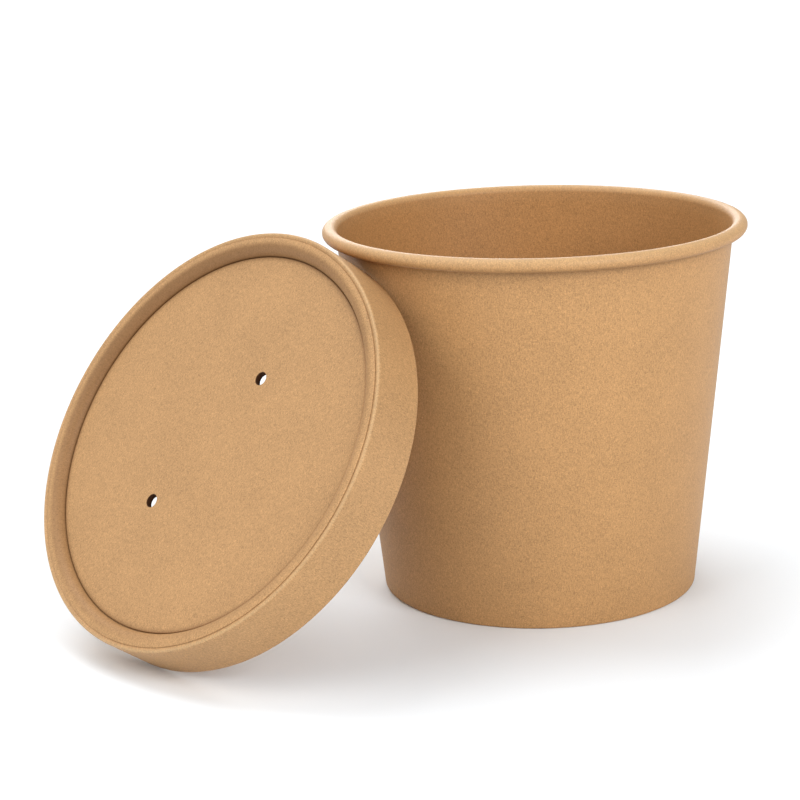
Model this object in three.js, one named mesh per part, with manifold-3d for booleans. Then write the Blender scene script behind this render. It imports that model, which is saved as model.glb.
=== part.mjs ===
// Takeaway soup cup of brown kraft paper, with its vented paper lid leaning on it.
// Millimetres, +Z up, floor at z = 0, front of the object towards -Y.
import * as THREE from 'three';
import { mergeVertices } from 'three/addons/utils/BufferGeometryUtils.js';
import Module from 'manifold-3d';

const wasm = await Module();
wasm.setup();

// Paper and smoothness
const PAPER = 0.45; // thickness of one layer of board
const LAYER_GAP = 0.1; // air between two layers that lie on each other
const SIDES = 72; // flats round the cup and round the lid
const FOLD_STEPS = 3; // flats of a folded edge, the middle one lying on the floor

// Cup
const CUP_HEIGHT = 103;
const CUP_FOOT_RADIUS = 43.8; // outside, at the floor
const CUP_RIM_RADIUS = 58; // outside of the rolled rim
const ROLL_HALF_WIDTH = 2.07; // outside of the rolled rim's section
const ROLL_HALF_HEIGHT = 1.85;
const ROLL_TURN = 314; // degrees that the rim is rolled through
const ROLL_STEPS = 12;
const FOOT_HEM_TOP = 6.3; // top of the edge folded up round the base's flange
const BASE_LEVEL = 8; // upper face of the base disc
const BASE_CORNER_RADIUS = 1;
const BASE_CORNER_STEPS = 3;
const BASE_FLANGE_FOOT = 0.85; // lower end of the base's turned-down edge
const SEAM_FOOT = 1.2; // lower end of the glued side seam
const SEAM_TOP = 98.8; // upper end, just below the rolled rim
const SEAM_STEP = 0.4; // how far the upper layer stands out
const SEAM_WIDTH = 9; // from the glued edge to where the step has faded away
const SEAM_HEADING = 98; // degrees round from the front, towards -X
const SEAM_COLUMNS = 4;
const SEAM_SINK = PAPER / 4; // how deep its faded edge lies inside the cone

// Lid, in its own frame: open edge at z = 0, crest of the bead at z = LID_HEIGHT
const LID_HEIGHT = 15.5;
const LID_RADIUS = 58.55; // outside of the skirt below the bead
const LID_FLARE = 0.3; // how much wider the open edge is
const LID_HEM_TOP = 3.2; // top of the edge folded in at the opening
// Fold line and groove, each point measured out and up from the skirt's top corner
const FOLD_RIDGE = [[0, -0.8], [-0.1, -0.28], [-0.4, -0.02], [-0.75, -0.1], [-1.3, -0.36]];
const BEAD_CREST = 56; // radius of the bead's crest
const BEAD_DROP = 2.8; // height of its rounded inner side
const BEAD_START = 76; // degrees above the level, where the bead rises from the groove
const BEAD_STEPS = 6;
const PANEL_DEPTH = 2.6; // from the crest down to the panel's face
const PANEL_RADIUS = 52.45;
const PANEL_PLAY = 0.45; // from the panel's edge to the middle of the ring's inner side
const LIP_REACH = 3.5; // width of the lip that the panel lies on
const LIP_CHAMFER = 0.2;
const VENT_RADIUS = 1.8;
const VENT_COLLAR = 1.35; // length of the pierced collar below the panel
const VENT_SIDES = 24;
const VENTS = [[9, 19.2], [-11.75, -19.55]]; // centres, to the lid's right and up
const CUT_MARGIN = 1; // how far a hole's tool runs past the paper

// Where the two pieces stand
const CUP_AT = [38.164, 20.382];
const LID_AT = [-39.509, -22.593, 48.447]; // centre of the lid's open edge
const LID_TURN = 43.38; // degrees that the lid faces to the left of the front
const LID_LEAN = 34.26; // degrees that its face looks up

const RAD = Math.PI / 180;

// Outside radius of the cup's cone at a height
const ROLL_CENTRE = [CUP_RIM_RADIUS - ROLL_HALF_WIDTH, CUP_HEIGHT - ROLL_HALF_HEIGHT];
const CONE_TOP_RADIUS = ROLL_CENTRE[0] - ROLL_HALF_WIDTH + PAPER;
const CONE_SLOPE = (CONE_TOP_RADIUS - CUP_FOOT_RADIUS) / ROLL_CENTRE[1];
const coneRadius = (z) => CUP_FOOT_RADIUS + CONE_SLOPE * z;

// Points on an ellipse's arc, from one angle to another in degrees
function arc(centre, halfWidth, halfHeight, from, to, steps) {
  return Array.from({ length: steps + 1 }, (_, i) => {
    const angle = (from + ((to - from) * i) / steps) * RAD;
    return new THREE.Vector2(
      centre[0] + halfWidth * Math.cos(angle),
      centre[1] + halfHeight * Math.sin(angle),
    );
  });
}

// Level of the middle of a folded edge whose lowest flat lies on z = 0
const foldLevel = (halfHeight) => PAPER / 2 + halfHeight * Math.sin((180 / FOLD_STEPS) * RAD);

// The edge of a sheet folded through half a turn, from the inner layer to the outer one
function edgeFold(outerRadius, halfWidth, halfHeight) {
  const centre = [outerRadius - halfWidth, foldLevel(halfHeight)];
  return arc(centre, halfWidth, halfHeight, 180, 360, FOLD_STEPS);
}

// The path's points moved sideways, to the left of the path for a positive distance
function offsetPath(path, distance) {
  return path.map((point, i) => {
    const before = point.clone().sub(path[Math.max(i - 1, 0)]).normalize();
    const after = path[Math.min(i + 1, path.length - 1)].clone().sub(point).normalize();
    const along = before.clone().add(after).normalize();
    const bend = i > 0 && i < path.length - 1 ? along.dot(after) : 1;
    const side = new THREE.Vector2(-along.y, along.x);
    return point.clone().addScaledVector(side, distance / bend);
  });
}

// A sheet of paper turned round the axis. The path is the middle of its section, with the
// outside of the object to its right, and an end on the axis closes the sheet there.
function turnedSheet(path, sides = SIDES) {
  const backFace = offsetPath(path, PAPER / 2).reverse();
  const outFace = offsetPath(path, -PAPER / 2);
  const section = [...backFace, ...outFace];
  if (section[0].x > 0) {
    section.push(section[0].clone());
  }
  return new THREE.LatheGeometry(section, sides).rotateX(Math.PI / 2);
}

// Solids for joining and cutting, and back
function toSolid(geometry) {
  const bare = geometry.clone();
  bare.deleteAttribute('normal');
  bare.deleteAttribute('uv');
  const merged = mergeVertices(bare, 1e-4);
  return new wasm.Manifold(new wasm.Mesh({
    numProp: 3,
    vertProperties: new Float32Array(merged.attributes.position.array),
    triVerts: new Uint32Array(merged.index.array),
  }));
}

function toGeometry(solid) {
  const { vertProperties, triVerts } = solid.getMesh();
  const geometry = new THREE.BufferGeometry();
  geometry.setAttribute('position', new THREE.BufferAttribute(vertProperties, 3));
  geometry.setIndex(new THREE.BufferAttribute(triVerts, 1));
  geometry.computeVertexNormals();
  return geometry;
}

// Upright disc or rod between two heights
function upright(radius, bottom, top, sides, at = [0, 0]) {
  return new THREE.CylinderGeometry(radius, radius, top - bottom, sides)
    .rotateX(Math.PI / 2)
    .translate(at[0], at[1], (bottom + top) / 2);
}

// Cup: one sheet from the hem inside the foot, round the foot, up the cone and round the rim
function cupWallPath() {
  const middle = (z) => coneRadius(z) - PAPER / 2;
  const halfWidth = PAPER + LAYER_GAP;
  const fold = edgeFold(middle(foldLevel(halfWidth)), halfWidth, halfWidth);
  const hemTop = new THREE.Vector2(middle(FOOT_HEM_TOP) - 2 * halfWidth, FOOT_HEM_TOP);
  const roll = arc(
    ROLL_CENTRE,
    ROLL_HALF_WIDTH - PAPER / 2,
    ROLL_HALF_HEIGHT - PAPER / 2,
    180,
    180 - ROLL_TURN,
    ROLL_STEPS,
  );
  return [hemTop, ...fold, ...roll];
}

// Glued side seam: the upper layer's edge stands out and fades into the cone
function seamGeometry() {
  const columns = SEAM_COLUMNS;
  const positions = [];
  for (const z of [SEAM_FOOT, SEAM_TOP]) {
    const radius = coneRadius(z);
    for (let i = 0; i < columns; i += 1) {
      const part = i / (columns - 1);
      const angle = (SEAM_HEADING * RAD) + (SEAM_WIDTH * part) / CUP_RIM_RADIUS;
      const outer = radius + SEAM_STEP * (1 - part) - SEAM_SINK * part;
      for (const r of [outer, radius - PAPER / 2]) {
        positions.push(-r * Math.sin(angle), -r * Math.cos(angle), z);
      }
    }
  }
  const at = (level, column, inner) => (level * columns + column) * 2 + inner;
  const index = [];
  const quad = (a, b, c, d) => index.push(a, b, c, a, c, d);
  for (let i = 0; i < columns - 1; i += 1) {
    const j = i + 1;
    quad(at(0, j, 0), at(0, i, 0), at(1, i, 0), at(1, j, 0));
    quad(at(0, i, 1), at(0, j, 1), at(1, j, 1), at(1, i, 1));
    quad(at(1, j, 0), at(1, i, 0), at(1, i, 1), at(1, j, 1));
    quad(at(0, i, 0), at(0, j, 0), at(0, j, 1), at(0, i, 1));
  }
  quad(at(0, 0, 0), at(0, 0, 1), at(1, 0, 1), at(1, 0, 0));
  const last = columns - 1;
  quad(at(0, last, 1), at(0, last, 0), at(1, last, 0), at(1, last, 1));
  const geometry = new THREE.BufferGeometry();
  geometry.setAttribute('position', new THREE.Float32BufferAttribute(positions, 3));
  geometry.setIndex(index);
  return geometry;
}

function cupWall() {
  return toGeometry(toSolid(turnedSheet(cupWallPath())).add(toSolid(seamGeometry())));
}

// Cup base: a disc whose edge turns down between the cone and its hem
function cupBase() {
  const middle = (z) => coneRadius(z) - PAPER * 1.5 - LAYER_GAP;
  const level = BASE_LEVEL - PAPER / 2;
  const cornerLevel = level - BASE_CORNER_RADIUS;
  const cornerCentre = [middle(cornerLevel) - BASE_CORNER_RADIUS, cornerLevel];
  return turnedSheet([
    new THREE.Vector2(middle(BASE_FLANGE_FOOT), BASE_FLANGE_FOOT),
    ...arc(cornerCentre, BASE_CORNER_RADIUS, BASE_CORNER_RADIUS, 0, 90, BASE_CORNER_STEPS),
    new THREE.Vector2(0, level),
  ]);
}

// Lid ring: one sheet from the hem inside the opening, up the skirt, over the fold line and
// the bead, down its rounded inner side and in under the panel
function lidRingPath() {
  const skirtTop = LID_RADIUS - PAPER / 2;
  const skirtFoot = skirtTop + LID_FLARE;
  const halfFold = (PAPER + LAYER_GAP) / 2;
  const crest = LID_HEIGHT - PAPER / 2;
  const lipLevel = LID_HEIGHT - PANEL_DEPTH - PAPER * 1.5 - LAYER_GAP;
  const lipCorner = PANEL_RADIUS + PANEL_PLAY;
  const beadCentre = [BEAD_CREST, crest - BEAD_DROP];
  const beadHalfWidth = BEAD_CREST - lipCorner;
  return [
    new THREE.Vector2(skirtFoot - 2 * halfFold, LID_HEM_TOP),
    ...edgeFold(skirtFoot, halfFold, halfFold),
    ...FOLD_RIDGE.map(([out, up]) => new THREE.Vector2(skirtTop + out, crest + up)),
    ...arc(beadCentre, beadHalfWidth, BEAD_DROP, BEAD_START, 180, BEAD_STEPS),
    new THREE.Vector2(lipCorner, lipLevel + LIP_CHAMFER),
    new THREE.Vector2(lipCorner - LIP_CHAMFER, lipLevel),
    new THREE.Vector2(lipCorner - LIP_REACH, lipLevel),
  ];
}

// Lid panel: a flat disc on the ring's lip, with two pierced vents
function lidPanel() {
  const top = LID_HEIGHT - PANEL_DEPTH;
  const bottom = top - PAPER;
  let panel = toSolid(upright(PANEL_RADIUS, bottom, top, SIDES));
  for (const at of VENTS) {
    const collarFoot = bottom - VENT_COLLAR;
    const collar = upright(VENT_RADIUS + PAPER, collarFoot, bottom + PAPER / 2, VENT_SIDES, at);
    const hole = upright(VENT_RADIUS, collarFoot - CUT_MARGIN, top + CUT_MARGIN, VENT_SIDES, at);
    panel = panel.add(toSolid(collar)).subtract(toSolid(hole));
  }
  return toGeometry(panel);
}

function named(name, geometry, colour, roughness) {
  const material = new THREE.MeshStandardMaterial({ color: colour, roughness, metalness: 0 });
  const mesh = new THREE.Mesh(geometry, material);
  mesh.name = name;
  return mesh;
}

const cup = new THREE.Group();
cup.add(named('cup_wall', cupWall(), '#b98c5e', 0.85));
cup.add(named('cup_base', cupBase(), '#a87b50', 0.85));
cup.position.set(CUP_AT[0], CUP_AT[1], 0);

const lid = new THREE.Group();
lid.add(named('lid_ring', turnedSheet(lidRingPath()), '#c19464', 0.85));
lid.add(named('lid_panel', lidPanel(), '#c39768', 0.85));
lid.rotation.set((90 - LID_LEAN) * RAD, 0, -LID_TURN * RAD, 'ZYX');
lid.position.set(...LID_AT);

const soupCup = new THREE.Group();
soupCup.add(cup, lid);

export default soupCup;
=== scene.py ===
"""Brown kraft paper soup cup with its vented paper lid leaning on it, as a dressed scene.

Metres, +Z up, floor at z = 0, front of the object towards -Y.
"""

import logging
import math
from dataclasses import dataclass, field
from enum import Enum

import bmesh
import bpy
import numpy as np
from mathutils import Matrix

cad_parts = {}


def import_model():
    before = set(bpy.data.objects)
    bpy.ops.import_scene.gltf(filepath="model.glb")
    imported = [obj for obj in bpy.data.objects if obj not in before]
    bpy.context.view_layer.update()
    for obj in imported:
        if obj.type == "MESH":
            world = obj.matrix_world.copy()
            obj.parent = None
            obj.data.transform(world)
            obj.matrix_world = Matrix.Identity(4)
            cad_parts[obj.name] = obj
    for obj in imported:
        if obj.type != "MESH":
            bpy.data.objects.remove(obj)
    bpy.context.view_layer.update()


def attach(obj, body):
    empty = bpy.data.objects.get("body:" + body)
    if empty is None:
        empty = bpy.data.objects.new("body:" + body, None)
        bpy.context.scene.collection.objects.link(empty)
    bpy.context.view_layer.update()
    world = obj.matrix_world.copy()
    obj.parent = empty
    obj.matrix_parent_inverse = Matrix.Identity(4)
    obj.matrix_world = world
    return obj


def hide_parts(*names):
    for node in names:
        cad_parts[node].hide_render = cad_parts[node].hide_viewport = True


log = logging.getLogger("soup_cup")

MM = 0.001
# Vertices nearer to each other than this are one
SAME_PLACE = 2e-6
# Width of the step where a glued edge stands out
EDGE_SLIVER = 0.02 * MM
TINY = 1e-9

Array = np.ndarray
Triple = tuple[float, float, float]
Colour = tuple[float, float, float, float]
Socket = bpy.types.NodeSocket


# Sections of folded and rolled paper


def ellipse_arc(
    centre: tuple[float, float],
    half_width: float,
    half_height: float,
    start: float,
    stop: float,
    steps: int,
) -> Array:
    """Points on an ellipse's arc: the centre plus half width times the cosine across and half
    height times the sine up, as the angle runs evenly from start to stop.

    Args:
        centre: radius and height of the ellipse's centre.
        half_width: half of its width.
        half_height: half of its height.
        start: first angle in degrees.
        stop: last angle in degrees.
        steps: number of intervals.

    Returns:
        An array of steps + 1 points, each a radius and a height.
    """
    angle = np.radians(np.linspace(start, stop, steps + 1))
    across = centre[0] + half_width * np.cos(angle)
    up = centre[1] + half_height * np.sin(angle)
    return np.column_stack([across, up])


def round_arc(
    centre: tuple[float, float], radius: float, start: float, stop: float, steps: int
) -> Array:
    """Points on a circle's arc, which is an ellipse's arc with both halves equal."""
    return ellipse_arc(centre, radius, radius, start, stop, steps)


def straight(start: Array, stop: Array, steps: int) -> Array:
    """Points between two points, both left out, evenly spaced along the line.

    Args:
        start: the point before the first one.
        stop: the point after the last one.
        steps: number of intervals between start and stop.

    Returns:
        An array of steps - 1 points.
    """
    share = np.linspace(0.0, 1.0, steps + 1)[1:-1, None]
    return start + (stop - start) * share


def offset_line(line: Array, distance: float) -> Array:
    """The line moved sideways: each point goes along the mean of the two neighbouring normals,
    by the distance over the cosine of half the bend, to the left for a positive distance.

    Args:
        line: points of a radius and a height each.
        distance: how far to move.

    Returns:
        The moved points.
    """
    step = np.diff(line, axis=0)
    step /= np.linalg.norm(step, axis=1, keepdims=True)
    before = np.vstack([step[:1], step])
    after = np.vstack([step, step[-1:]])
    along = before + after
    along /= np.linalg.norm(along, axis=1, keepdims=True)
    cosine = np.sum(along * after, axis=1, keepdims=True)
    side = np.column_stack([-along[:, 1], along[:, 0]])
    return line + side * distance / cosine


def along_line(line: Array) -> Array:
    """Distance along the line from its first point to each point."""
    step = np.linalg.norm(np.diff(line, axis=0), axis=1)
    return np.concatenate([[0.0], np.cumsum(step)])


# Meshes from surfaces


class ShadeAndWear(Enum):
    """Marks on the paper, mostly painted light and shade: the vents' cut edges, made matt and
    painted dark as shade; painted shade along creases and under the rolled rim; folds rubbed
    smoother and given a painted highlight; and painted shade inside the cup. The value is the name
    of the mesh's attribute."""

    CUT = "cut"
    CREASE = "crease"
    RUBBED_AND_HIGHLIGHT = "rubbed"
    INSIDE_SHADE = "coated"


@dataclass
class Surface:
    """Vertices, faces, a UV point for each corner of each face, and for each vertex its painted
    shade, painted highlight and wear: a share from 0 to 1 for each kind, in the order of their
    enum."""

    vertices: Array
    faces: list[list[int]]
    corners: Array
    shade_and_wear: Array | None = None

    @property
    def full_shade_and_wear(self) -> Array:
        """The painted shade, painted highlight and wear of each vertex, nothing where none was
        given.
        """
        return np.zeros((len(self.vertices), len(ShadeAndWear))) if self.shade_and_wear is None else self.shade_and_wear

    def moved(self, turn: Array, at: Array) -> "Surface":
        """The same surface with every vertex turned by the matrix and then moved."""
        return Surface(self.vertices @ turn.T + at, self.faces, self.corners, self.shade_and_wear)


def shaded_and_worn(shares: dict[ShadeAndWear, Array]) -> Array:
    """Painted shade, painted highlight and wear, with each given share in the column of its kind,
    and nothing in the others.
    """
    blank = np.zeros_like(next(iter(shares.values())))
    return np.stack([shares.get(kind, blank) for kind in ShadeAndWear], axis=-1)


def grid_faces(rows: int, columns: int, closed: bool) -> tuple[Array, Array, Array]:
    """Faces of a grid of vertices whose rows are rings: each face joins a vertex to the next in
    its row and to the two beside them in the next row.

    Args:
        rows: number of rings.
        columns: number of vertices in a ring.
        closed: whether the last ring joins the first.

    Returns:
        The four vertex numbers of each face, and the row and the column that it starts in.
    """
    starts = np.indices((rows if closed else rows - 1, columns)).reshape(2, -1)
    i, j = starts
    i_next, j_next = (i + 1) % rows, (j + 1) % columns
    corners = [
        i * columns + j,
        i * columns + j_next,
        i_next * columns + j_next,
        i_next * columns + j,
    ]
    return np.stack(corners, axis=-1), i, j


def turned_surface(section: Array, angles: Array, outward: Array, closed: bool) -> Surface:
    """Surface of a section turned once round the vertical axis. A point of the section at radius
    r and height z goes to (r + outward) times (sine, minus cosine) of the angle, at height z.

    Args:
        section: points of a radius and a height each.
        angles: rising angles in radians, less than one turn in all.
        outward: extra radius, one row for each section point and one column for each angle.
        closed: whether the last section point joins the first.

    Returns:
        The surface, with u along the circle and v along the section, both in metres.
    """
    radius = section[:, :1] + outward
    x = radius * np.sin(angles)
    y = -radius * np.cos(angles)
    z = np.broadcast_to(section[:, 1:], x.shape)
    vertices = np.stack([x, y, z], axis=-1).reshape(-1, 3)
    quads, i, j = grid_faces(len(section), len(angles), closed)

    loop = np.vstack([section, section[:1]]) if closed else section
    v = along_line(loop)
    mean_radius = float(section[:, 0].mean())
    u = np.append(angles, angles[0] + math.tau) * mean_radius
    corner_u = np.stack([u[j], u[j + 1], u[j + 1], u[j]], axis=-1)
    corner_v = np.stack([v[i], v[i], v[i + 1], v[i + 1]], axis=-1)
    corners = np.stack([corner_u, corner_v], axis=-1).reshape(-1, 2)
    return Surface(vertices, quads.tolist(), corners)


def joined(surfaces: list[Surface]) -> Surface:
    """All the surfaces as one, with the faces counted on from one to the next.

    Args:
        surfaces: the surfaces, which stay apart in the mesh until equal vertices are merged.

    Returns:
        The one surface.
    """
    counts = np.cumsum([0] + [len(s.vertices) for s in surfaces])
    faces = [
        [corner + int(first) for corner in face]
        for surface, first in zip(surfaces, counts)
        for face in surface.faces
    ]
    return Surface(
        np.vstack([s.vertices for s in surfaces]),
        faces,
        np.vstack([s.corners for s in surfaces]),
        np.vstack([s.full_shade_and_wear for s in surfaces]),
    )


def to_object(name: str, surface: Surface, sharp_degrees: float = 35.0) -> bpy.types.Object:
    """A smooth-shaded mesh object of the surface, its equal vertices merged, with sharp edges
    where two faces meet at more than the given angle.

    Args:
        name: name of the object and of its mesh.
        surface: what to build.
        sharp_degrees: smallest bend that stays a sharp edge.

    Returns:
        The object, linked to the scene, at the origin.
    """
    mesh = bpy.data.meshes.new(name)
    mesh.from_pydata(surface.vertices, [], surface.faces)
    layer = mesh.uv_layers.new(name="paper")
    layer.data.foreach_set("uv", surface.corners.astype(np.float32).ravel())
    for kind, shares in zip(ShadeAndWear, surface.full_shade_and_wear.T):
        layer = mesh.attributes.new(name=kind.value, type="FLOAT", domain="POINT")
        layer.data.foreach_set("value", shares.astype(np.float32))

    work = bmesh.new()
    work.from_mesh(mesh)
    bmesh.ops.remove_doubles(work, verts=work.verts, dist=SAME_PLACE)
    work.to_mesh(mesh)
    work.free()

    mesh.shade_smooth()
    mesh.set_sharp_from_angle(angle=math.radians(sharp_degrees))
    mesh.update()
    piece = bpy.data.objects.new(name, mesh)
    bpy.context.scene.collection.objects.link(piece)
    return piece


# Kraft paper


@dataclass(frozen=True)
class Noise:
    """A noise: its features to the metre, its detail and roughness, and how much it weighs in
    the paper's tone and in its relief."""

    scale: float
    detail: float
    rough: float = 0.5
    tone: float = 0.0
    relief: float = 0.0


class Speckle(Enum):
    """The noises of kraft paper, from its cloudiness down to its fibres, and its flecks."""

    CLOUD = Noise(60.0, 3.0, tone=0.16)
    PATCH = Noise(480.0, 2.0, tone=0.11)
    GRIT = Noise(1700.0, 1.0, tone=0.25, relief=0.4)
    TOOTH = Noise(3600.0, 1.0, tone=0.76, relief=0.4)
    FIBRE = Noise(3000.0, 2.0, tone=0.50, relief=0.5)
    FLECK = Noise(2300.0, 1.0, rough=0.4)


@dataclass(frozen=True)
class Fleck:
    """Flecks: the values of their noise at which they begin and are full, how much they cover
    there, and their share of the base colour."""

    begins: float
    full: float
    cover: float
    shade: float


class Laying(Enum):
    """How one colour is laid over another: mixed in, multiplied over as painted shade, or screened
    over as a pale painted highlight.
    """

    MIXED = "MIX"
    MULTIPLIED = "MULTIPLY"
    SCREENED = "SCREEN"


CUP_PAPER = (0.442, 0.241, 0.097)
LID_PAPER = (0.432, 0.244, 0.105)


@dataclass(frozen=True)
class KraftFinish:
    """Uncoated brown kraft paper: a mottled brown with fine fibres, dark flecks and pale ones,
    with the colours of its painted shade and painted highlight.
    """

    slot: str
    base: Triple
    darkest: float = 0.50
    palest: float = 1.50
    tone_reach: float = 0.4
    flecks: tuple[Fleck, ...] = (Fleck(0.66, 0.74, 0.18, 0.60), Fleck(0.34, 0.27, 0.20, 1.40))
    fibre_stretch: Triple = (1.0, 0.3, 1.0)
    bump: float = 0.30
    bump_depth: float = 0.05 * MM
    roughness: float = 0.55
    rubbed_roughness: float = 0.47
    # Pale haze screened over the rubbed folds: a painted highlight
    highlight_haze: Triple = (0.13, 0.095, 0.055)
    gloss: float = 0.28
    # Near-black painted shade inside the vents
    painted_vent_shade: Triple = (0.04, 0.013, 0.003)
    # Dark brown painted shade along creases and under the rolled rim
    crease: Triple = (0.150, 0.064, 0.019)
    # Warm tint multiplied over the inside of the cup: painted shade
    inside_shade_tint: Triple = (0.95, 0.88, 0.77)

    def shade(self, share: float) -> Colour:
        """The base colour times the share, as an opaque colour."""
        red, green, blue = self.base
        return (red * share, green * share, blue * share, 1.0)

    def material(self) -> bpy.types.Material:
        """Builds the finish.

        Returns:
            The material, whose pattern reads object coordinates and the piece's paper UV map.
        """
        material = bpy.data.materials.new(self.slot)
        material.use_nodes = True
        KraftTree(material.node_tree, self).build()
        return material


class KraftTree:
    """Node tree of one kraft finish."""

    def __init__(self, tree: bpy.types.NodeTree, finish: KraftFinish) -> None:
        """Starts from an empty tree.

        Args:
            tree: the material's node tree.
            finish: its colours and strengths.
        """
        self.tree = tree
        self.finish = finish
        tree.nodes.clear()

    def node(self, kind: str, **values: object) -> bpy.types.Node:
        """A new node with its properties and its unlinked inputs set by name.

        Args:
            kind: the node's type name.
            values: properties in lower case, and inputs by their label with _ for a blank.

        Returns:
            The node.
        """
        node = self.tree.nodes.new(kind)
        for key, value in values.items():
            if hasattr(node, key):
                setattr(node, key, value)
            else:
                node.inputs[key.replace("_", " ")].default_value = value
        return node

    def link(self, source: Socket, target: Socket) -> None:
        """Links one socket to another."""
        self.tree.links.new(source, target)

    def noise(self, vector: Socket, kind: Noise) -> Socket:
        """Value of a noise.

        Args:
            vector: where it is read.
            kind: its scale, detail and roughness.

        Returns:
            The value's socket.
        """
        node = self.node(
            "ShaderNodeTexNoise", Scale=kind.scale, Detail=kind.detail, Roughness=kind.rough
        )
        self.link(vector, node.inputs["Vector"])
        return node.outputs["Fac"]

    def shade_and_wear(self, kind: ShadeAndWear) -> Socket:
        """One share of the piece's painted shade, painted highlight or wear."""
        return self.node("ShaderNodeAttribute", attribute_name=kind.value).outputs["Fac"]

    def spread(
        self, value: Socket, low: float, high: float, to_low: float, to_high: float
    ) -> Socket:
        """The value carried from the range low to high over to another range, and held there.

        Args:
            value: the value to carry over.
            low: value that becomes to_low.
            high: value that becomes to_high.
            to_low: first end of the new range.
            to_high: last end of the new range.

        Returns:
            The new value's socket.
        """
        node = self.node("ShaderNodeMapRange", clamp=True)
        ends = {"From Min": low, "From Max": high, "To Min": to_low, "To Max": to_high}
        for label, number in ends.items():
            node.inputs[label].default_value = number
        self.link(value, node.inputs["Value"])
        return node.outputs["Result"]

    def laid(
        self,
        share: Socket,
        under: Socket | Colour,
        over: Socket | Colour,
        way: Laying = Laying.MIXED,
    ) -> Socket:
        """One colour laid over another, each a socket or a plain colour.

        Args:
            share: how much of the upper colour.
            under: the lower colour.
            over: the upper colour.
            way: how it is laid.

        Returns:
            The colour's socket.
        """
        node = self.node("ShaderNodeMix", data_type="RGBA", blend_type=way.value)
        self.link(share, node.inputs[0])
        for socket, colour in ((node.inputs[6], under), (node.inputs[7], over)):
            if isinstance(colour, tuple):
                socket.default_value = colour
            else:
                self.link(colour, socket)
        return node.outputs[2]

    def total(self, parts: list[tuple[Socket, float]]) -> Socket:
        """Sum of the values, each times its weight.

        Args:
            parts: the values with their weights.

        Returns:
            The sum's socket.
        """
        result: Socket | None = None
        for value, weight in parts:
            node = self.node("ShaderNodeMath", operation="MULTIPLY_ADD")
            self.link(value, node.inputs[0])
            node.inputs[1].default_value = weight
            if result is None:
                node.inputs[2].default_value = 0.0
            else:
                self.link(result, node.inputs[2])
            result = node.outputs[0]
        return result

    def speckles(self) -> dict[Speckle, Socket]:
        """All the paper's noises. The fibres run up the piece, so theirs is read on its UV map,
        which is squeezed along them, and the others on object coordinates.

        Returns:
            The value of each noise.
        """
        place = self.node("ShaderNodeTexCoord").outputs["Object"]
        paper = self.node("ShaderNodeUVMap", uv_map="paper").outputs["UV"]
        stretch = self.node("ShaderNodeMapping")
        stretch.inputs["Scale"].default_value = self.finish.fibre_stretch
        self.link(paper, stretch.inputs["Vector"])
        along = {Speckle.FIBRE: stretch.outputs["Vector"]}
        return {kind: self.noise(along.get(kind, place), kind.value) for kind in Speckle}

    def paper_colour(self, values: dict[Speckle, Socket]) -> Socket:
        """Colour of the bare paper: dark to pale as the tone, the weighted sum of the noises,
        passes its middle, which is half the sum of the weights, and the flecks over it.

        Args:
            values: the value of each noise.

        Returns:
            The colour's socket.
        """
        finish = self.finish
        weights = {kind: kind.value.tone for kind in Speckle if kind.value.tone}
        tone = self.total([(values[kind], weight) for kind, weight in weights.items()])
        middle = 0.5 * sum(weights.values())
        low, high = middle - finish.tone_reach, middle + finish.tone_reach
        share = self.spread(tone, low, high, 0.0, 1.0)
        colour = self.laid(share, finish.shade(finish.darkest), finish.shade(finish.palest))
        for fleck in finish.flecks:
            cover = self.spread(
                values[Speckle.FLECK], fleck.begins, fleck.full, 0.0, fleck.cover
            )
            colour = self.laid(cover, colour, finish.shade(fleck.shade))
        return colour

    def build(self) -> None:
        """Builds the whole finish: the paper's colour with painted shade inside the cup, painted
        highlights on rubbed folds, and painted shade along creases, under the roll and in the
        vents laid over it; the roughness, which falls where the paper is rubbed and is full at a
        cut edge; and the relief."""
        finish = self.finish
        values = self.speckles()
        colour = self.paper_colour(values)
        cut, crease, rubbed, coated = (self.shade_and_wear(kind) for kind in ShadeAndWear)
        # Painted shade inside the cup, painted highlight on rubbed folds, painted shade along
        # creases and under the roll, and painted shade in the vents
        colour = self.laid(coated, colour, (*finish.inside_shade_tint, 1.0), Laying.MULTIPLIED)
        colour = self.laid(rubbed, colour, (*finish.highlight_haze, 1.0), Laying.SCREENED)
        colour = self.laid(crease, colour, (*finish.crease, 1.0))
        colour = self.laid(cut, colour, (*finish.painted_vent_shade, 1.0))

        reliefs = [(values[kind], kind.value.relief) for kind in Speckle if kind.value.relief]
        bump = self.node("ShaderNodeBump", Strength=finish.bump, Distance=finish.bump_depth)
        self.link(self.total(reliefs), bump.inputs["Height"])

        surface = self.node("ShaderNodeBsdfPrincipled")
        rough = self.spread(rubbed, 0.0, 1.0, finish.roughness, finish.rubbed_roughness)
        rough = self.total([(rough, 1.0), (cut, 1.0 - finish.roughness)])
        self.link(rough, surface.inputs["Roughness"])
        surface.inputs["Specular IOR Level"].default_value = finish.gloss
        self.link(colour, surface.inputs["Base Color"])
        self.link(bump.outputs["Normal"], surface.inputs["Normal"])
        output = self.node("ShaderNodeOutputMaterial")
        self.link(surface.outputs["BSDF"], output.inputs["Surface"])


# The cup


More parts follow.
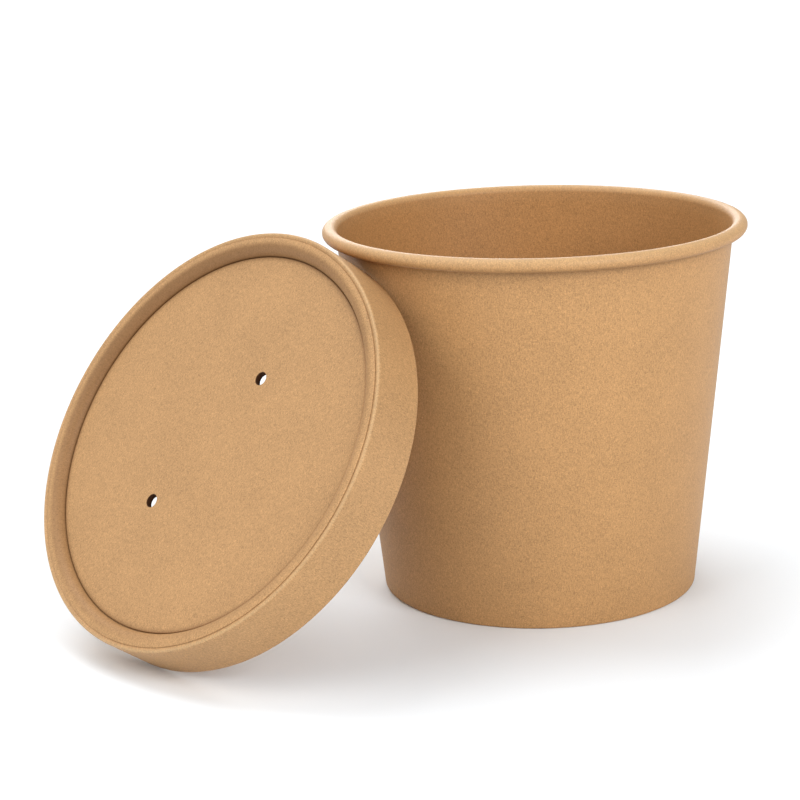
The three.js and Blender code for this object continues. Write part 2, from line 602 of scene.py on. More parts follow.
@dataclass(frozen=True)
class Board:
    """The paper board: its thickness and the air between two layers of it."""

    thickness: float = 0.45 * MM
    gap: float = 0.1 * MM
    fold_steps: int = 10

    @property
    def half(self) -> float:
        """Half of the thickness."""
        return self.thickness / 2.0

    def sheet(self, middle: Array) -> Array:
        """Closed section of a sheet: the inner side backwards, then the outer side forwards.

        Args:
            middle: the line along the sheet's middle.

        Returns:
            The section's points, as many on each side as the line has.
        """
        inner = offset_line(middle, self.half)[::-1]
        outer = offset_line(middle, -self.half)
        return np.vstack([inner, outer])

    def edge_fold(self, outer_radius: float, half_width: float) -> Array:
        """Middle line of a sheet's edge folded through half a turn, lowest side at z = 0.

        Args:
            outer_radius: radius of the middle of the outer layer.
            half_width: half the distance between the middles of the two layers.

        Returns:
            The points, from the inner layer round to the outer one.
        """
        centre = (outer_radius - half_width, self.half + half_width)
        return round_arc(centre, half_width, 180.0, 360.0, self.fold_steps)


@dataclass(frozen=True)
class Wave:
    """A slight wave round a circle: how many times it swells, where it starts, its height."""

    times: float
    start: float
    height: float

    def outward(self, angles: Array) -> Array:
        """Its height times the sine of its times the angle and its start."""
        return self.height * np.sin(self.times * angles + self.start)


def with_edge(angles: Array, edge: float, sliver: float) -> Array:
    """The even angles without those close to a glued edge, and two a sliver apart at it."""
    spare = angles[np.abs(angles - edge) > 4.0 * sliver]
    return np.sort(np.concatenate([spare, [edge - sliver, edge]]))


def lap(angles: Array, edge: float, width: float, side: float = 1.0) -> Array:
    """Height of a lapped layer over the plain one: one at the edge, falling to nothing over the
    width on one side of it, and nothing on the other. It falls as the 1.5th power of what is
    left of the width.

    Args:
        angles: where to work it out, in radians.
        edge: angle of the glued edge.
        width: angle over which the step fades away.
        side: 1 to fade towards larger angles, -1 towards smaller ones.

    Returns:
        Shares from 0 to 1.
    """
    past = (angles - edge) * side
    fade = np.clip(1.0 - past / width, 0.0, 1.0) ** 1.5
    return np.where(past >= -TINY, fade, 0.0)


@dataclass
class SoupCup:
    """The cup: a sheet with a rolled rim and a folded foot, and the base disc inside it.

    Sizes are in metres, headings in radians from the front, and the roll's turn in degrees.
    """

    at: tuple[float, float] = (38.164 * MM, 20.382 * MM)
    board: Board = field(default_factory=Board)
    height: float = 103.0 * MM
    foot_radius: float = 43.8 * MM
    rim_radius: float = 58.0 * MM

    # The roll, and the height of the painted shadow on the wall below it
    roll_half_width: float = 2.07 * MM
    roll_half_height: float = 1.85 * MM
    roll_turn: float = 314.0
    roll_bulge: float = 0.12 * MM
    roll_bulge_width: float = 4.0 * MM
    roll_margin: float = 0.6 * MM
    wall_shadow_height: float = 1.9 * MM

    # The foot's hem and the base
    hem_top: float = 6.3 * MM
    base_level: float = 8.0 * MM
    base_corner: float = 1.0 * MM
    flange_foot: float = 0.85 * MM
    base_dish: float = 0.25 * MM

    # The side seam, which fades out over the foot and under the roll
    seam_heading: float = math.radians(98.0)
    seam_step: float = 0.34 * MM
    seam_width: float = 9.0 * MM
    seam_overlap: float = 7.0 * MM
    seam_inner_share: float = 0.6
    seam_foot: float = 0.5 * MM
    seam_foot_fade: float = 1.5 * MM
    seam_top_fade: float = 2.5 * MM
    waves: tuple[Wave, ...] = (Wave(5.0, 0.7, 0.035 * MM), Wave(9.0, 2.1, 0.0245 * MM))

    # How far from the cone, in thicknesses, a point still counts as on the wall
    wall_inside: float = 1.2
    wall_outside: float = 0.6

    # Strengths of the roll's painted highlight, where it is also rubbed smoother, and of the
    # painted shadows on the wall under the roll and on the roll's underside
    rubbed_highlight_middle: float = 0.3
    rubbed_highlight_rise: float = 0.9
    under_roll_wall_shadow: float = 0.75
    roll_underside_shadow: float = 0.5

    # Fineness of the meshes
    columns: int = 320
    hem_steps: int = 4
    cone_steps: int = 30
    roll_steps: int = 44
    base_columns: int = 192
    flange_steps: int = 4
    corner_steps: int = 10
    disc_steps: int = 24

    @property
    def place(self) -> Array:
        """The cup's place on the floor, as three coordinates."""
        return np.array([*self.at, 0.0])

    @property
    def roll_centre(self) -> tuple[float, float]:
        """Radius and height of the middle of the rolled rim's section."""
        return (self.rim_radius - self.roll_half_width, self.height - self.roll_half_height)

    def cone_radius(self, level: Array | float) -> Array | float:
        """Outside radius of the cone, straight from the foot up to the inner side of the roll."""
        top = self.roll_centre[0] - self.roll_half_width + self.board.thickness
        return self.foot_radius + (top - self.foot_radius) * level / self.roll_centre[1]

    def wall_line(self) -> Array:
        """Middle line of the wall: down the hem, round the foot, up the cone, round the roll.

        Returns:
            Points of a radius and a height each.
        """
        half_fold = self.board.thickness + self.board.gap
        inset = self.board.half
        fold = self.board.edge_fold(self.cone_radius(half_fold) - inset, half_fold)
        hem_radius = self.cone_radius(self.hem_top) - inset - 2.0 * half_fold
        hem_top = np.array([hem_radius, self.hem_top])
        hem = straight(hem_top, fold[0], self.hem_steps)
        roll = ellipse_arc(
            self.roll_centre,
            self.roll_half_width - inset,
            self.roll_half_height - inset,
            180.0,
            180.0 - self.roll_turn,
            self.roll_steps,
        )
        cone = straight(fold[-1], roll[0], self.cone_steps)
        return np.vstack([hem_top, hem, fold, cone, roll])

    @property
    def inner_edge(self) -> float:
        """Angle of the inner layer's edge, one lap further round than the outer layer's."""
        return self.seam_heading + self.seam_overlap / self.rim_radius

    def angles(self) -> Array:
        """Angles round the cup, with a close pair at each glued edge of the side seam.

        Returns:
            Rising angles in radians.
        """
        even = np.linspace(0.0, math.tau, self.columns, endpoint=False)
        sliver = EDGE_SLIVER / self.rim_radius
        outer = with_edge(even, self.seam_heading, sliver)
        return with_edge(outer, self.inner_edge, sliver)

    def seam(self, section: Array, angles: Array, outer_side: Array, on_wall: Array) -> Array:
        """How far the side seam stands out: on each face of the wall its step times the lap
        round it, fading out over the foot and under the roll. On the roll it is a soft bulge,
        one over e at its width from the seam's middle.

        Args:
            section: points of a radius and a height each.
            angles: where round the cup, in radians.
            outer_side: whether each section point is on the sheet's outer side.
            on_wall: whether it is on the cone.

        Returns:
            Extra radius, one row for each section point and one column for each angle.
        """
        radius, level = section[:, 0], section[:, 1]
        above_foot = np.clip((level - self.seam_foot) / self.seam_foot_fade, 0.0, 1.0)
        below_roll = np.clip((self.roll_centre[1] - level) / self.seam_top_fade, 0.0, 1.0)
        shown = above_foot * below_roll
        outer_weight = np.where(outer_side & on_wall, shown, 0.0)
        inner_weight = np.where(~outer_side & on_wall, shown, 0.0)

        width = self.seam_width / self.rim_radius
        step_out = self.seam_step * lap(angles, self.seam_heading, width)
        inner_step = self.seam_inner_share * self.seam_step
        step_in = -inner_step * lap(angles, self.inner_edge, width, -1.0)

        from_middle = (angles - self.seam_heading - 0.5 * width) * self.rim_radius
        bulge = self.roll_bulge * np.exp(-((from_middle / self.roll_bulge_width) ** 2))
        on_roll = radius > self.cone_radius(self.roll_centre[1]) + self.roll_margin
        return (
            outer_weight[:, None] * step_out
            + inner_weight[:, None] * step_in
            + np.where(on_roll[:, None], bulge, 0.0)
        )

    def wall(self) -> Surface:
        """The wall, with its lapped seam and the slight waviness of rolled board, which swells
        as the sine from nothing at the foot and the rim to its height half way up.

        Returns:
            The surface, in the cup's place.
        """
        section = self.board.sheet(self.wall_line())
        angles = self.angles()
        radius, level = section[:, 0], section[:, 1]
        outer_side = np.arange(len(section)) >= len(section) // 2
        inner_limit = self.cone_radius(level) - self.wall_inside * self.board.thickness
        outer_limit = self.cone_radius(level) + self.wall_outside * self.board.thickness
        on_wall = (radius > inner_limit) & (radius < outer_limit)

        swell = np.sin(math.pi * np.clip(level / self.height, 0.0, 1.0))[:, None]
        waves = sum(wave.outward(angles) for wave in self.waves)
        outward = swell * waves + self.seam(section, angles, outer_side, on_wall)
        surface = turned_surface(section, angles, outward, closed=True)
        # Painted shade and painted highlight of each section point, the same all round the cup
        shade_and_wear = self.wall_wear(level, outer_side, on_wall)
        surface.shade_and_wear = np.repeat(shade_and_wear, len(angles), axis=0)
        return surface.moved(np.eye(3), self.place)

    def wall_wear(self, level: Array, outer_side: Array, on_wall: Array) -> Array:
        """Painted shade, painted highlight and wear of the wall: the roll shows the sheet's inner
        side, and its upper half is rubbed smoother and given a painted highlight. The wall just
        under the roll and the roll's underside get a painted shadow, and the inside of the cup
        gets painted shade, a darker and warmer tint.

        Args:
            level: height of each section point.
            outer_side: whether the point is on the sheet's outer side.
            on_wall: whether the point is on the cone.

        Returns:
            Painted shade, painted highlight and wear of each section point.
        """
        up_the_roll = (level - self.roll_centre[1]) / self.roll_half_height
        # Painted highlight on the roll's upper half, which is also rubbed smoother
        polish_and_highlight = np.clip(self.rubbed_highlight_middle + self.rubbed_highlight_rise * up_the_roll, 0.0, 1.0)
        rubbed = np.where(~outer_side, polish_and_highlight, 0.0)
        # Painted shadow on the wall under the roll and on the roll's underside
        wall_shadow_foot = self.roll_centre[1] - self.roll_half_height - self.wall_shadow_height
        wall_shadow = np.clip((level - wall_shadow_foot) / self.wall_shadow_height, 0.0, 1.0) ** 1.5
        crease = np.where(outer_side & on_wall, self.under_roll_wall_shadow * wall_shadow, 0.0)
        under = self.roll_underside_shadow * np.clip(-up_the_roll, 0.0, 1.0) ** 2
        crease += np.where(~outer_side & ~on_wall & (level > wall_shadow_foot), under, 0.0)
        # Painted shade inside the cup: a darker, warmer tint above the base
        coated = np.where(~outer_side & on_wall & (level > self.base_level), 1.0, 0.0)
        return shaded_and_worn({ShadeAndWear.CREASE: crease, ShadeAndWear.RUBBED_AND_HIGHLIGHT: rubbed, ShadeAndWear.INSIDE_SHADE: coated})

    def base(self) -> Surface:
        """The base disc, with its edge turned down between cone and hem. It dips by the dish
        times the squared sine of a quarter turn times the share of the way to its middle.

        Returns:
            The surface, in the cup's place.
        """
        inset = 1.5 * self.board.thickness + self.board.gap
        level = self.base_level - self.board.half
        corner_level = level - self.base_corner
        corner_radius = self.cone_radius(corner_level) - inset - self.base_corner
        foot = np.array([self.cone_radius(self.flange_foot) - inset, self.flange_foot])
        corner = round_arc(
            (corner_radius, corner_level), self.base_corner, 0.0, 90.0, self.corner_steps
        )
        centre = np.array([0.0, level])
        flange = straight(foot, corner[0], self.flange_steps)
        disc = straight(corner[-1], centre, self.disc_steps)
        section = self.board.sheet(np.vstack([foot, flange, corner, disc, centre]))
        share = np.clip(1.0 - section[:, 0] / corner_radius, 0.0, 1.0)
        section[:, 1] -= self.base_dish * np.sin(0.5 * math.pi * share) ** 2
        angles = np.linspace(0.0, math.tau, self.base_columns, endpoint=False)
        plain = np.zeros((len(section), len(angles)))
        turned = turned_surface(section, angles, plain, closed=False)
        return turned.moved(np.eye(3), self.place)


# The lid


@dataclass
class PaperLid:
    """The lid: a ring with its skirt, fold line, bead and inner wall, and a vented panel.

    Sizes are in metres from the middle of the open edge, headings in radians from the lid's
    lowest point, and the arcs' angles in degrees.
    """

    at: Triple = (-39.509 * MM, -22.593 * MM, 48.447 * MM)
    turn: float = math.radians(43.38)
    lean: float = math.radians(34.26)
    board: Board = field(default_factory=Board)
    height: float = 15.5 * MM
    radius: float = 58.45 * MM
    flare: float = 0.3 * MM
    hem_top: float = 3.2 * MM

    # The ridge where the skirt turns in, and the shallow groove beside it
    ridge_radius: float = 0.4 * MM
    ridge_drop: float = 0.02 * MM
    ridge_turn: float = 112.0
    ridge_inset: float = 0.35 * MM
    groove: tuple[float, float] = (-1.3 * MM, -0.36 * MM)
    groove_radius: float = 0.34 * MM
    groove_arc: tuple[float, float] = (-38.0, -128.0)

    # The bead, and the lip that it ends in under the panel
    bead_crest: float = 56.0 * MM
    bead_drop: float = 2.8 * MM
    bead_start: float = 76.0
    lip_corner: float = 0.3 * MM
    lip_reach: float = 3.5 * MM

    # The panel and its vents
    panel_depth: float = 2.6 * MM
    panel_radius: float = 52.45 * MM
    panel_play: float = 0.45 * MM
    vent_radius: float = 1.8 * MM
    vent_collar: float = 1.35 * MM
    vents: tuple[tuple[float, float], ...] = ((9.0 * MM, 19.2 * MM), (-11.75 * MM, -19.55 * MM))

    # The ring's glued lap, which fades out below the ridge, and the skirt's waviness
    seam_heading: float = math.radians(236.0)
    seam_step: float = 0.22 * MM
    seam_width: float = 8.0 * MM
    seam_top: float = 0.9 * MM
    seam_top_fade: float = 1.2 * MM
    skirt_margin: float = 0.1 * MM
    skirt_draw: float = 0.05 * MM
    waves: tuple[Wave, ...] = (Wave(4.0, 1.1, 0.03 * MM), Wave(11.0, 0.0, 0.018 * MM))

    # Painted shade along the panel, darkest at one heading where the slope is turned from the
    # light, and the width of the ridge's painted highlight, where it is also rubbed smoother
    shade_heading: float = math.radians(230.0)
    shade_mean: float = 0.55
    shade_swing: float = 0.45
    slope_shade: float = 0.7
    slope_width: float = 1.2 * MM
    rubbed_highlight_width: float = 0.65 * MM

    # Fineness of the mesh
    columns: int = 320
    plain_steps: int = 4
    skirt_steps: int = 16
    ridge_steps: int = 12
    groove_steps: int = 6
    bead_steps: int = 28
    lip_corner_steps: int = 5

    @property
    def pose(self) -> Array:
        """Turning matrix whose columns are the lid's right, its up and its outward axis."""
        facing = Matrix.Rotation(-self.turn, 3, "Z")
        return np.array(facing @ Matrix.Rotation(0.5 * math.pi - self.lean, 3, "X"))

    def ring_line(self) -> Array:
        """Middle line of the ring: down the hem, round the open edge, up the skirt, over the
        fold line and the bead, down the inner wall and in under the panel.

        Returns:
            Points of a radius and a height each.
        """
        board, steps = self.board, self.plain_steps
        skirt_top = self.radius - board.half
        skirt_foot = skirt_top + self.flare
        half_fold = (board.thickness + board.gap) / 2.0
        crest = self.height - board.half
        fold = board.edge_fold(skirt_foot, half_fold)
        hem_top = np.array([skirt_foot - 2.0 * half_fold, self.hem_top])
        fold_line = self.fold_line(skirt_top, crest)
        lip_edge = self.panel_radius + self.panel_play
        bead = ellipse_arc(
            (self.bead_crest, crest - self.bead_drop),
            self.bead_crest - lip_edge,
            self.bead_drop,
            self.bead_start,
            180.0,
            self.bead_steps,
        )
        lip_level = self.height - self.panel_depth - 1.5 * board.thickness - board.gap
        corner = self.lip_corner
        lip_corner = round_arc(
            (lip_edge - corner, lip_level + corner), corner, 0.0, -90.0, self.lip_corner_steps
        )
        lip_end = np.array([lip_corner[-1, 0] - self.lip_reach + corner, lip_level])
        return np.vstack(
            [
                hem_top,
                straight(hem_top, fold[0], steps),
                fold,
                straight(fold[-1], fold_line[0], self.skirt_steps),
                fold_line,
                bead,
                straight(bead[-1], lip_corner[0], steps),
                lip_corner,
                straight(lip_corner[-1], lip_end, steps),
                lip_end,
            ]
        )

    def fold_line(self, skirt_top: float, crest: float) -> Array:
        """Rounded fold where the skirt turns in, and the shallow groove between it and the
        bead.

        Args:
            skirt_top: radius of the middle of the skirt.
            crest: height of the middle of the board at the bead's crest.

        Returns:
            The points, from the skirt in to the groove.
        """
        ridge_centre = (skirt_top - self.ridge_radius, crest - self.ridge_radius - self.ridge_drop)
        ridge = round_arc(
            ridge_centre, self.ridge_radius, 0.0, self.ridge_turn, self.ridge_steps
        )
        groove_centre = (
            skirt_top + self.groove[0],
            crest + self.groove[1] + self.groove_radius,
        )
        groove = round_arc(
            groove_centre, self.groove_radius, *self.groove_arc, self.groove_steps
        )
        return np.vstack([ridge, groove])

    def angles(self) -> Array:
        """Angles round the lid, with a close pair at the glued edge of the ring."""
        even = np.linspace(0.0, math.tau, self.columns, endpoint=False)
        return with_edge(even, self.seam_heading, EDGE_SLIVER / self.radius)

    def ring(self) -> Surface:
        """The ring, with the lap where its strip is glued. The skirt's waviness, and how far it
        is drawn in, grow evenly from nothing at the top to all of it at the open edge.

        Returns:
            The surface, in the lid's place.
        """
        section = self.board.sheet(self.ring_line())
        angles = self.angles()
        radius, level = section[:, 0], section[:, 1]
        outer_side = np.arange(len(section)) >= len(section) // 2
        on_skirt = outer_side & (radius > self.radius - self.skirt_margin)
        top_fade = np.clip((self.height - self.seam_top - level) / self.seam_top_fade, 0.0, 1.0)
        weight = np.where(on_skirt, top_fade, 0.0)[:, None]
        lapped = -self.seam_step * lap(angles, self.seam_heading, self.seam_width / self.radius)
        low = np.clip(1.0 - level / self.height, 0.0, 1.0)[:, None]
        waves = sum(wave.outward(angles) for wave in self.waves)
        outward = weight * lapped + low * (waves - self.skirt_draw)
        surface = turned_surface(section, angles, outward, closed=True)
        # Painted shade and painted highlight of the ring
        surface.shade_and_wear = self.ring_wear(section, angles).reshape(-1, len(ShadeAndWear))
        return surface.moved(self.pose, np.array(self.at))

    def ring_wear(self, section: Array, angles: Array) -> Array:
        """Painted shade, painted highlight and wear of the ring. The painted shade is one at the
        panel's face, and falls with the square of the way up to the crest. It is darkest at one
        heading, where the slope is turned from the light, and least across from it. The fold line
        is rubbed smoother and given a painted highlight, by one at its top and nothing beyond its
        width.

        Args:
            section: points of a radius and a height each.
            angles: where round the lid, in radians.

        Returns:
            Wear for each section point and each angle.
        """
        radius, level = section[:, 0], section[:, 1]
        # Painted shade in the recess by the panel, darkest at one heading where the slope is
        # turned from the light
        reach = (level - self.height + self.panel_depth) / self.panel_depth
        deep = np.clip(1.0 - reach, 0.0, 1.0) ** 2
        down_the_slope = np.clip((self.bead_crest - radius) / self.slope_width, 0.0, 1.0)
        slope = self.slope_shade * down_the_slope
        inside = np.where(radius < self.bead_crest, np.maximum(deep, slope), 0.0)
        shade_by_heading = self.shade_mean + self.shade_swing * np.cos(angles - self.shade_heading)
        crease = inside[:, None] * shade_by_heading

        # Painted highlight along the fold ridge, which is also rubbed smoother
        ridge = np.hypot(radius - self.radius + self.ridge_inset, level - self.height)
        rubbed = np.clip(1.0 - ridge / self.rubbed_highlight_width, 0.0, 1.0)[:, None]
        rubbed = np.broadcast_to(rubbed, crease.shape)
        return shaded_and_worn({ShadeAndWear.CREASE: crease, ShadeAndWear.RUBBED_AND_HIGHLIGHT: rubbed})

    def panel(self) -> Surface:
        """The panel: two flat halves on each face, a rounded rim, and a pierced vent with a
        short collar below in each of its two holes.

        Returns:
            The surface, in the lid's place.
        """
        disc = VentedDisc(
            radius=self.panel_radius,
            top=self.height - self.panel_depth,
            thickness=self.board.thickness,
            vent_radius=self.vent_radius,
            collar=self.vent_collar,
            vents=np.array(self.vents),
        )
        return disc.surface().moved(self.pose, np.array(self.at))


@dataclass
class VentedDisc:
    """A flat disc with two round vents, each pierced downwards into a short collar."""

    radius: float
    top: float
    thickness: float
    vent_radius: float
    collar: float
    vents: Array
    rim_rounding: float = 0.22 * MM
    lead_in: float = 0.14 * MM
    flat_margin: float = 0.5 * MM
    rim_margin: float = 2.5 * MM
    # Width and strength of the painted shade along the rim, where the ring's bead meets the panel
    rim_shade_width: float = 1.6 * MM
    rim_shade: float = 0.7
    rim_points: int = 288
    vent_points: int = 48
    rounding_steps: int = 5
    margin_steps: int = 8
    lead_in_steps: int = 6

    @property
    def bottom(self) -> float:
        """Height of the lower face."""
        return self.top - self.thickness

    @property
    def flat_radius(self) -> float:
        """Radius at which the flat faces stop before the rim."""
        return self.radius - self.rim_margin

    @property
    def flat_hole_radius(self) -> float:
        """Radius at which a flat face stops before a vent's rounded edge."""
        return self.vent_radius + self.thickness + self.flat_margin

    @property
    def along(self) -> Array:
        """Unit vector from the first vent to the second."""
        line = self.vents[1] - self.vents[0]
        return line / np.linalg.norm(line)

    @property
    def across(self) -> Array:
        """Unit vector square to the line through the vents, to its left."""
        return np.array([-self.along[1], self.along[0]])

    def circle(self, centre: Array, radius: float, angles: Array) -> Array:
        """Points of a circle, with angles counted from the line through the two vents."""
        reach = np.cos(angles)[:, None] * self.along + np.sin(angles)[:, None] * self.across
        return centre + radius * reach

    def vent_angles(self) -> Array:
        """Even angles round a vent."""
        return np.linspace(0.0, math.tau, self.vent_points, endpoint=False)

    def rim_angles(self) -> Array:
        """Angles of the disc's rim, with points where the line through the vents meets the flat
        part's edge. That is at the arc sine of the line's distance from the middle over the
        edge's radius.

        Returns:
            Rising angles, half of them on each side of the line.
        """
        offset = self.vents[0] - self.along * np.dot(self.vents[0], self.along)
        dip = math.asin(float(np.dot(offset, self.across)) / self.flat_radius)
        half = self.rim_points // 2
        left = np.linspace(dip, math.pi - dip, half, endpoint=False)
        right = np.linspace(math.pi - dip, math.tau + dip, half, endpoint=False)
        return np.concatenate([left, right])

    def hole_arc(self, first: int, start: int) -> list[int]:
        """Half of a hole's corners, clockwise from the start corner."""
        return [first + (start - k) % self.vent_points for k in range(self.vent_points // 2 + 1)]

    def face(self, level: float, upward: bool) -> Surface:
        """One flat face as two halves, which meet on the line through the vents.

        Args:
            level: height of the face.
            upward: whether it looks up.

        Returns:
            The face, without its rim and the vents' edges.
        """
        rim = self.circle(np.zeros(2), self.flat_radius, self.rim_angles())
        even = self.vent_angles()
        holes = [self.circle(centre, self.flat_hole_radius, even) for centre in self.vents]
        points = np.vstack([rim, *holes])

        half_rim, half_hole = self.rim_points // 2, self.vent_points // 2
        first_hole = self.rim_points
        second_hole = first_hole + self.vent_points
        left = list(range(half_rim + 1))
        left += self.hole_arc(first_hole, half_hole) + self.hole_arc(second_hole, half_hole)
        right = list(range(half_rim, self.rim_points)) + [0]
        right += self.hole_arc(second_hole, 0) + self.hole_arc(first_hole, 0)
        faces = [left, right] if upward else [left[::-1], right[::-1]]
        vertices = np.column_stack([points, np.full(len(points), level)])
        return Surface(vertices, faces, np.vstack([points[loop] for loop in faces]))

    def band(self, centre: Array, section: Array, angles: Array, shade_and_wear: Array) -> Surface:
        """Surface of an open section carried round a circle of this disc.

        Args:
            centre: the circle's centre.
            section: points of a radius and a height each.
            angles: angles from the line through the vents.
            shade_and_wear: painted shade, painted highlight and wear at each point of the section.

        Returns:
            The surface, with UV points taken straight down on the disc.
        """
        columns = len(angles)
        rings = [
            np.column_stack([self.circle(centre, radius, angles), np.full(columns, level)])
            for radius, level in section
        ]
        vertices = np.vstack(rings)
        quads, _, _ = grid_faces(len(section), columns, closed=False)
        corners = vertices[quads.ravel(), :2]
        return Surface(vertices, quads.tolist(), corners, np.repeat(shade_and_wear, columns, axis=0))

    def rim(self) -> Surface:
        """The rim: flat below, rounded above. It gets painted shade where the ring's bead meets
        it, as the square of how far a point is past the shaded width's inner side.

        Returns:
            The surface, from the lower flat face round to the upper one.
        """
        rounding = self.rim_rounding
        rounded = round_arc(
            (self.radius - rounding, self.top - rounding), rounding, 0.0, 90.0, self.rounding_steps
        )
        inner = np.array([self.flat_radius, self.top])
        section = np.vstack(
            [
                [self.flat_radius, self.bottom],
                [self.radius, self.bottom],
                rounded,
                straight(rounded[-1], inner, self.margin_steps),
                inner,
            ]
        )
        # Painted shade along the rim, where the bead meets the panel
        past = (section[:, 0] - self.radius + self.rim_shade_width) / self.rim_shade_width
        shade_and_wear = shaded_and_worn({ShadeAndWear.CREASE: self.rim_shade * np.clip(past, 0.0, 1.0) ** 2})
        return self.band(np.zeros(2), section, self.rim_angles(), shade_and_wear)

    def vent(self, centre: Array) -> Surface:
        """A vent: the upper face's rounded edge, the hole, whose cut edge is made matt and painted
        near black as shade all the way down, and the collar's outside up to the lower face.

        Args:
            centre: the vent's centre.

        Returns:
            The surface, from the upper flat face round to the lower one.
        """
        collar_foot = self.bottom - self.collar
        collar_radius = self.vent_radius + self.thickness
        edge = self.vent_radius + self.lead_in
        lead_in = round_arc(
            (edge, self.top - self.lead_in), self.lead_in, 90.0, 180.0, self.lead_in_steps
        )
        section = np.vstack(
            [
                [self.flat_hole_radius, self.top],
                lead_in,
                [self.vent_radius, collar_foot],
                [collar_radius, collar_foot],
                [collar_radius, self.bottom],
                [self.flat_hole_radius, self.bottom],
            ]
        )
        # The cut edge painted near black as shade, from the lead-in down the hole
        shade_and_wear = shaded_and_worn({ShadeAndWear.CUT: np.clip((edge - section[:, 0]) / self.lead_in, 0.0, 1.0)})
        return self.band(centre, section, self.vent_angles(), shade_and_wear)

    def surface(self) -> Surface:
        """The closed disc."""
        faces = [self.face(self.top, upward=True), self.face(self.bottom, upward=False)]
        return joined([*faces, self.rim(), *(self.vent(centre) for centre in self.vents)])


# Floor, light and camera


def placed(right: Array, up: Array, back: Array, at: Array) -> Matrix:
    """The 4 by 4 matrix that places a lamp or a camera.

    Args:
        right: unit vector to its right, which is the first column.
        up: unit vector upwards, the second.
        back: unit vector away from what it looks at, the third.
        at: its place, the fourth.

    Returns:
        The matrix.
    """
    matrix = np.eye(4)
    matrix[:3, :4] = np.column_stack([right, up, back, at])
    return Matrix(matrix.tolist())


class LampKind(Enum):
    """What a lamp is: a square sheet of light, or distant light from a wide part of the sky."""

    SHEET = "AREA"
    SKY = "SUN"


@dataclass(frozen=True)
class SoftLight:
    """A lamp that looks at a point. Its size is the side of a sheet, or an angle in the sky."""

    name: str
    kind: LampKind
    place: Triple
    size: float
    power: float
    aim: Triple = (0.0, 0.0, 0.05)

    def build(self) -> bpy.types.Object:
        """Makes the lamp, its back along the line from its aim to its place.

        Returns:
            The lamp's object.
        """
        data = bpy.data.lights.new(self.name, self.kind.value)
        data.energy = self.power
        if self.kind is LampKind.SKY:
            data.angle = self.size
        else:
            data.shape = "SQUARE"
            data.size = self.size
        lamp = bpy.data.objects.new(self.name, data)
        place, aim = np.array(self.place), np.array(self.aim)
        back = (place - aim) / np.linalg.norm(place - aim)
        right = np.cross([0.0, 0.0, 1.0], back)
        right /= np.linalg.norm(right)
        lamp.matrix_world = placed(right, np.cross(back, right), back, place)
        bpy.context.scene.collection.objects.link(lamp)
        return lamp


LAMPS = (
    SoftLight("lamp_high", LampKind.SKY, (-0.3, 0.3, 1.0), math.radians(36.0), 1.15),
    SoftLight("lamp_back", LampKind.SHEET, (-0.5, 3.6, 1.3), 1.8, 46.0),
    SoftLight("lamp_right", LampKind.SHEET, (0.85, -0.95, 0.68), 0.6, 10.2),
    SoftLight("lamp_left", LampKind.SHEET, (-0.8, -0.6, 0.9), 0.8, 5.0),
)


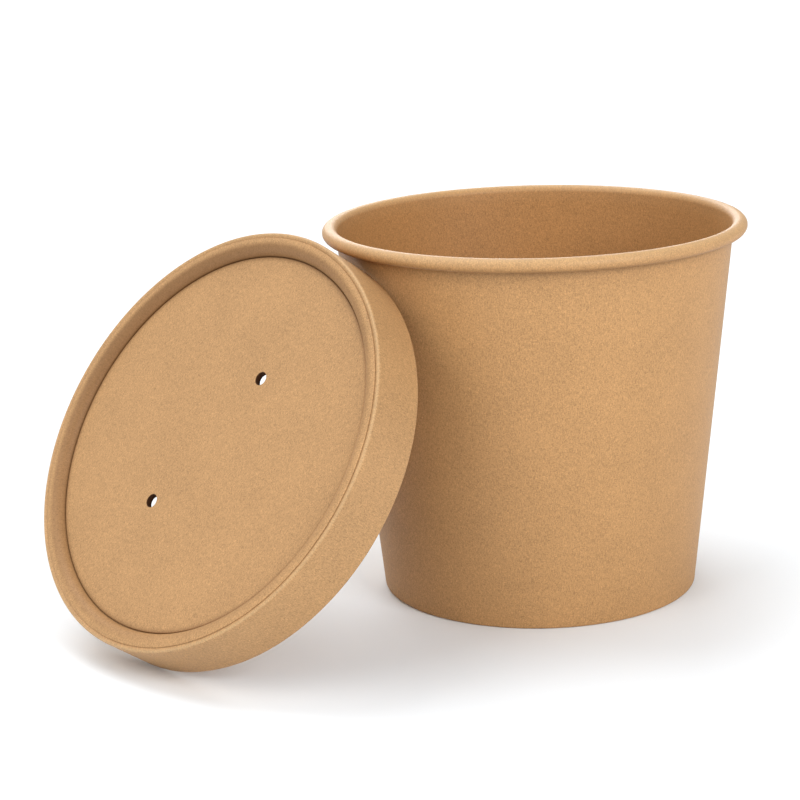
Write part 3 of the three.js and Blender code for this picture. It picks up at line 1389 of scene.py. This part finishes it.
@dataclass
class Studio:
    """White floor, pale surroundings, four large soft lamps and the camera."""

    # Strength of the surroundings at the bright side and at the dim one, the way to the dim
    # side, and the range over which the strength changes
    surround_front: float = 0.72
    surround_back: float = 0.5
    surround_away: Triple = (0.8, 0.6, 0.0)
    surround_turn: tuple[float, float] = (-0.3, 0.6)
    floor_tone: Triple = (0.87, 0.91, 0.945)
    floor_reach: float = 6.0
    floor_roughness: float = 0.9
    floor_gloss: float = 0.1
    exposure: float = 0.0

    # The camera, whose focal length is in the pixels of a frame of the given width
    camera_at: Triple = (0.038164, -0.599018, 0.2148)
    pitch: float = math.radians(14.67)
    yaw: float = math.radians(-3.53)
    roll: float = math.radians(-1.88)
    focal_pixels: float = 2289.0
    frame_pixels: float = 800.0
    sensor: float = 36.0
    nearest: float = 0.01
    furthest: float = 50.0

    def build(self) -> None:
        """Makes the floor, the surroundings, the lamps and the camera."""
        self.floor()
        scene = bpy.context.scene
        scene.world = self.surroundings()
        for lamp in LAMPS:
            lamp.build()
        scene.camera = self.camera()
        scene.view_settings.view_transform = "Standard"
        scene.view_settings.look = "None"
        scene.view_settings.exposure = self.exposure

    def surroundings(self) -> bpy.types.World:
        """White surroundings, bright at the left and dimmed towards the back right. The strength
        goes smoothly from one value to the other as the dot product of the direction and the
        way to the dim side passes its range.

        Returns:
            The world.
        """
        world = bpy.data.worlds.new("surround")
        world.use_nodes = True
        nodes, links = world.node_tree.nodes, world.node_tree.links
        direction = nodes.new("ShaderNodeTexCoord").outputs["Generated"]
        away = nodes.new("ShaderNodeVectorMath")
        away.operation = "DOT_PRODUCT"
        away.inputs[1].default_value = self.surround_away
        links.new(direction, away.inputs[0])
        dimming = nodes.new("ShaderNodeMapRange")
        dimming.interpolation_type = "SMOOTHSTEP"
        dimming.inputs["From Min"].default_value = self.surround_turn[0]
        dimming.inputs["From Max"].default_value = self.surround_turn[1]
        dimming.inputs["To Min"].default_value = self.surround_front
        dimming.inputs["To Max"].default_value = self.surround_back
        links.new(away.outputs["Value"], dimming.inputs["Value"])
        background = nodes["Background"]
        background.inputs["Color"].default_value = (1.0, 1.0, 1.0, 1.0)
        links.new(dimming.outputs["Result"], background.inputs["Strength"])
        return world

    def floor(self) -> bpy.types.Object:
        """A large level sheet of matt white.

        Returns:
            The floor's object.
        """
        sides = ((-1, -1), (1, -1), (1, 1), (-1, 1))
        corners = [(x * self.floor_reach, y * self.floor_reach, 0.0) for x, y in sides]
        mesh = bpy.data.meshes.new("studio_floor")
        mesh.from_pydata(corners, [], [(0, 1, 2, 3)])
        floor = bpy.data.objects.new("studio_floor", mesh)
        bpy.context.scene.collection.objects.link(floor)
        material = bpy.data.materials.new("studio_white")
        material.use_nodes = True
        surface = material.node_tree.nodes["Principled BSDF"]
        surface.inputs["Base Color"].default_value = (*self.floor_tone, 1.0)
        surface.inputs["Roughness"].default_value = self.floor_roughness
        surface.inputs["Specular IOR Level"].default_value = self.floor_gloss
        mesh.materials.append(material)
        return floor

    def camera(self) -> bpy.types.Object:
        """The camera: it looks along the heading that yaw and pitch give, turned by the roll.

        Returns:
            The camera's object.
        """
        forward = np.array(
            [
                math.sin(self.yaw) * math.cos(self.pitch),
                math.cos(self.yaw) * math.cos(self.pitch),
                -math.sin(self.pitch),
            ]
        )
        level_right = np.array([math.cos(self.yaw), -math.sin(self.yaw), 0.0])
        level_up = np.cross(level_right, forward)
        right = math.cos(self.roll) * level_right + math.sin(self.roll) * level_up
        up = math.cos(self.roll) * level_up - math.sin(self.roll) * level_right
        data = bpy.data.cameras.new("photo_view")
        data.sensor_width = self.sensor
        data.lens = self.focal_pixels / self.frame_pixels * self.sensor
        data.clip_start = self.nearest
        data.clip_end = self.furthest
        camera = bpy.data.objects.new("photo_view", data)
        camera.matrix_world = placed(right, up, -forward, np.array(self.camera_at))
        bpy.context.scene.collection.objects.link(camera)
        return camera


# The whole scene


@dataclass(frozen=True)
class DressedPiece:
    """One finished piece: the solid that it stands for, its shape and its finish."""

    node: str
    surface: Surface
    finish: KraftFinish

    def build(self) -> bpy.types.Object:
        """Makes the piece, gives it its finish and lets it stand for its solid.

        Returns:
            The piece's object, named after its solid.
        """
        piece = to_object(f"{self.node}_paper", self.surface)
        piece.data.materials.append(self.finish.material())
        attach(piece, "root")
        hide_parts(self.node)
        log.info("%s: %d faces", piece.name, len(piece.data.polygons))
        return piece


def main() -> None:
    """Builds the whole scene in order."""
    logging.basicConfig(level=logging.INFO, format="%(name)s %(message)s")
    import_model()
    cup, lid = SoupCup(), PaperLid()
    pieces = [
        DressedPiece("cup_wall", cup.wall(), KraftFinish("kraft_cup", CUP_PAPER)),
        DressedPiece("cup_base", cup.base(), KraftFinish("kraft_base", CUP_PAPER)),
        DressedPiece("lid_ring", lid.ring(), KraftFinish("kraft_lid", LID_PAPER)),
        DressedPiece("lid_panel", lid.panel(), KraftFinish("kraft_panel", LID_PAPER)),
    ]
    for piece in pieces:
        piece.build()
    Studio().build()


if __name__ == "__main__":
    main()
